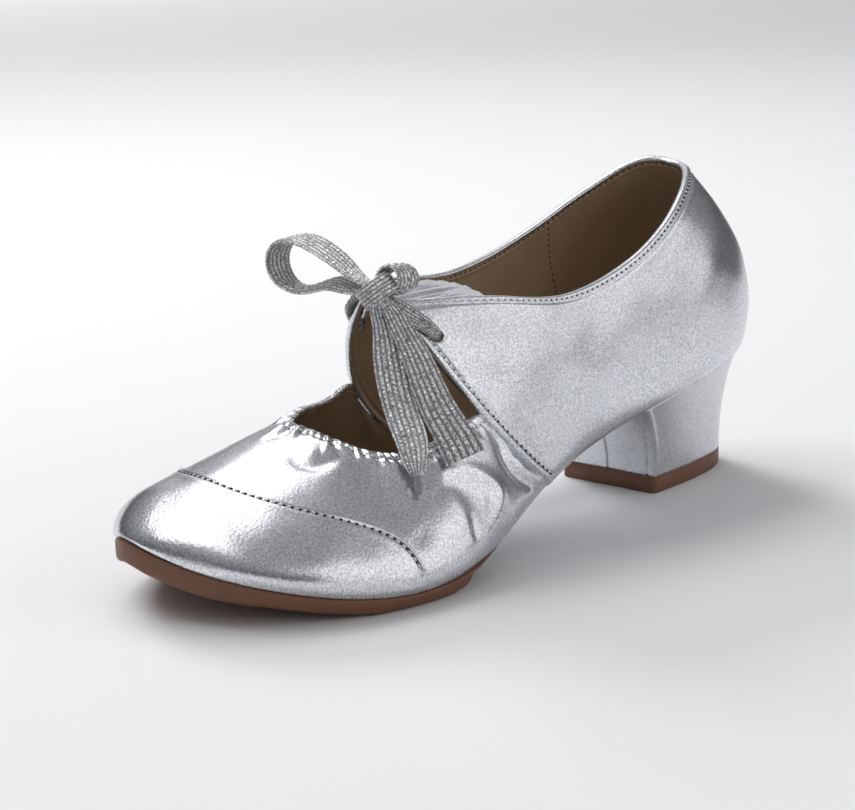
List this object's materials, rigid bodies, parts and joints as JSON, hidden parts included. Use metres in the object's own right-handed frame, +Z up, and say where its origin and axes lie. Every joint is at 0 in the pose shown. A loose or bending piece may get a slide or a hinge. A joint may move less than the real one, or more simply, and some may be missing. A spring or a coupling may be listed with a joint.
{
  "type": "ballroom dance shoe",
  "caption": "Ballroom dance shoe in soft silver leather with a gathered vamp, elastic instep strap, tied ribbon bow, rubber half sole and low covered block heel.",
  "frame": {"origin": "on the floor under the middle of the shoe's own box, the tied bow left out", "axes": "+X from heel to toe, +Y to the shoe's outer side, +Z up"},
  "size_m": [0.2466, 0.0884, 0.1058],
  "materials": {
    "silver_leather": "soft metallic silver leather with a fine grain",
    "heel_cover": "smooth metallic silver leather stretched over the heel",
    "brown_rubber": "matt brown rubber",
    "tan_lining": "matt tan lining leather",
    "silver_elastic": "gathered silver elastic",
    "lace_ribbon": "flat ribbon woven with metallic yarn"
  },
  "bodies": {
    "root": {"upper": "silver_leather", "insole": "tan_lining", "outsole_forefoot": "brown_rubber", "heel_block": "heel_cover", "heel_top_lift": "brown_rubber", "instep_strap": "silver_elastic", "lace_bar": "lace_ribbon", "lace_knot": "lace_ribbon", "lace_loop_inner": "lace_ribbon", "lace_loop_outer": "lace_ribbon", "lace_end_front": "lace_ribbon", "lace_end_back": "lace_ribbon"}
  },
  "joints": []
}
